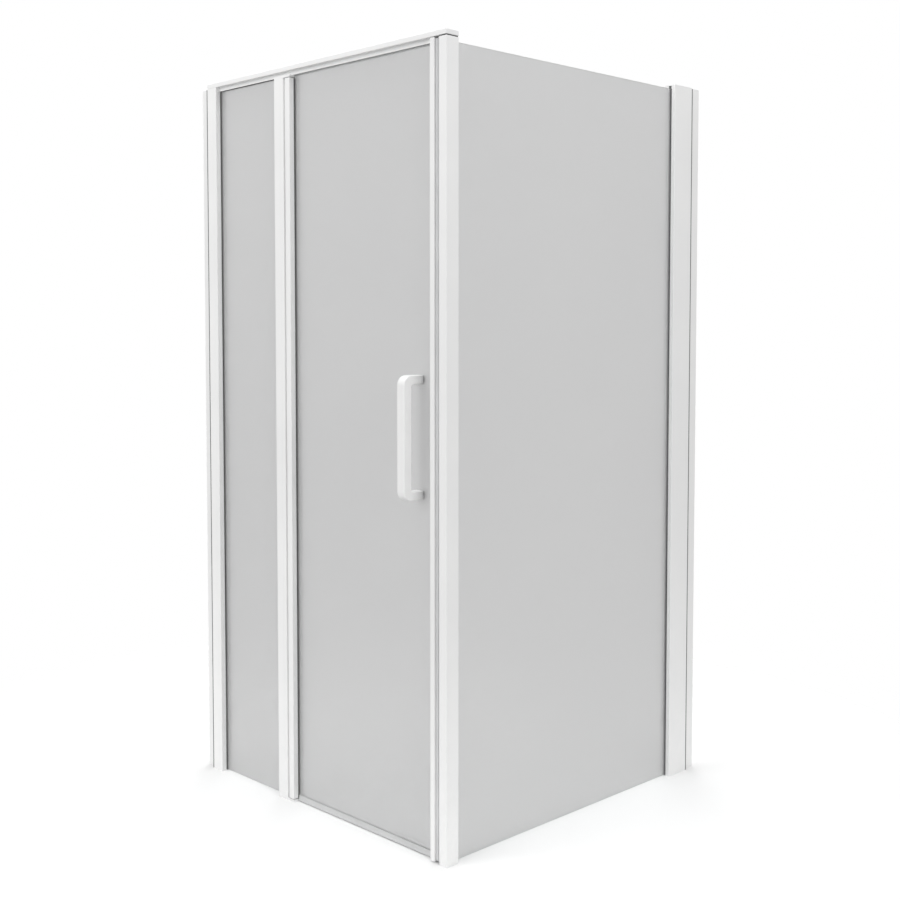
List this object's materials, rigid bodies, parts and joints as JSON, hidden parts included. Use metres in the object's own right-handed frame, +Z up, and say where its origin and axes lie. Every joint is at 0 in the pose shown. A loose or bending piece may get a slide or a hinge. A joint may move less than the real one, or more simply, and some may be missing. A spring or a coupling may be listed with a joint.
{
  "type": "hinged shower door enclosure",
  "caption": "Corner shower enclosure: a hinged satin-glass door beside a fixed pane, a glass side pane, white uprights, a header rail, magnetic closing strips and a bow handle.",
  "frame": {"origin": "on the floor under the middle of the bounding box, handle included", "axes": "+Z up; the front with the door faces -Y; the room wall of the front lies at -X and the back wall at +Y; the side pane is on +X"},
  "size_m": [1, 1.045, 1.95],
  "materials": {
    "white_coat": "satin white powder coat on aluminium",
    "satin_glass": "light grey satin-etched toughened glass",
    "dark_gasket": "matt dark glazing rubber",
    "white_plastic": "satin white moulded plastic",
    "clear_seal": "translucent light grey soft plastic",
    "magnet_strip": "matt black flexible magnet",
    "stainless": "plain stainless steel",
    "grey_nylon": "grey nylon",
    "dark_plastic": "matt dark moulded plastic"
  },
  "bodies": {
    "frame": {"front_wall_channel": "white_coat", "front_channel_cap": "white_plastic", "front_channel_wipers": "dark_gasket", "front_adjust_profile": "white_coat", "front_adjust_screws": "stainless", "front_adjust_screw_caps": "white_plastic", "fixed_glass": "satin_glass", "fixed_glass_wall_gaskets": "dark_gasket", "fixed_glass_post_gaskets": "dark_gasket", "fixed_glass_setting_blocks": "grey_nylon", "hinge_post": "white_coat", "hinge_gap_seal": "dark_gasket", "lower_pivot_bracket": "white_coat", "lower_pivot_pin": "stainless", "upper_pivot_bracket": "white_coat", "upper_pivot_pin": "stainless", "pivot_bracket_screws": "stainless", "corner_post": "white_coat", "corner_post_foot": "white_plastic", "post_magnet_carrier": "clear_seal", "post_magnet_core": "magnet_strip", "header_rail": "white_coat", "header_wall_end_cap": "white_plastic", "header_corner_cap": "white_plastic", "header_corner_connector": "dark_plastic", "header_screws": "stainless", "header_screw_plugs": "white_plastic", "header_glass_gaskets": "dark_gasket", "header_door_seal": "clear_seal", "side_glass": "satin_glass", "side_glass_post_gaskets": "dark_gasket", "side_glass_wall_gaskets": "dark_gasket", "side_glass_setting_blocks": "grey_nylon", "side_adjust_profile": "white_coat", "side_profile_cap": "white_plastic", "side_adjust_screws": "stainless", "side_adjust_screw_caps": "white_plastic", "side_wall_channel": "white_coat", "side_channel_cap": "white_plastic", "side_channel_wipers": "dark_gasket"},
    "door": {"door_hinge_profile": "white_coat", "lower_pivot_bush": "grey_nylon", "upper_pivot_bush": "grey_nylon", "door_glass": "satin_glass", "door_hinge_gaskets": "dark_gasket", "door_close_gaskets": "dark_gasket", "door_close_profile": "white_coat", "door_close_caps": "white_plastic", "door_magnet_carrier": "clear_seal", "door_magnet_core": "magnet_strip", "door_bottom_seal": "clear_seal", "handle_bar": "white_coat", "handle_pads": "clear_seal", "handle_sleeves": "grey_nylon", "handle_rosettes": "white_plastic", "handle_bolts": "stainless"}
  },
  "joints": [
    {"name": "door_swing", "type": "hinge", "parent": "frame", "child": "door", "pos_m": [-0.10256, -0.4695, 0], "axis": [0, 0, -1], "range_deg": [0, 105]}
  ]
}
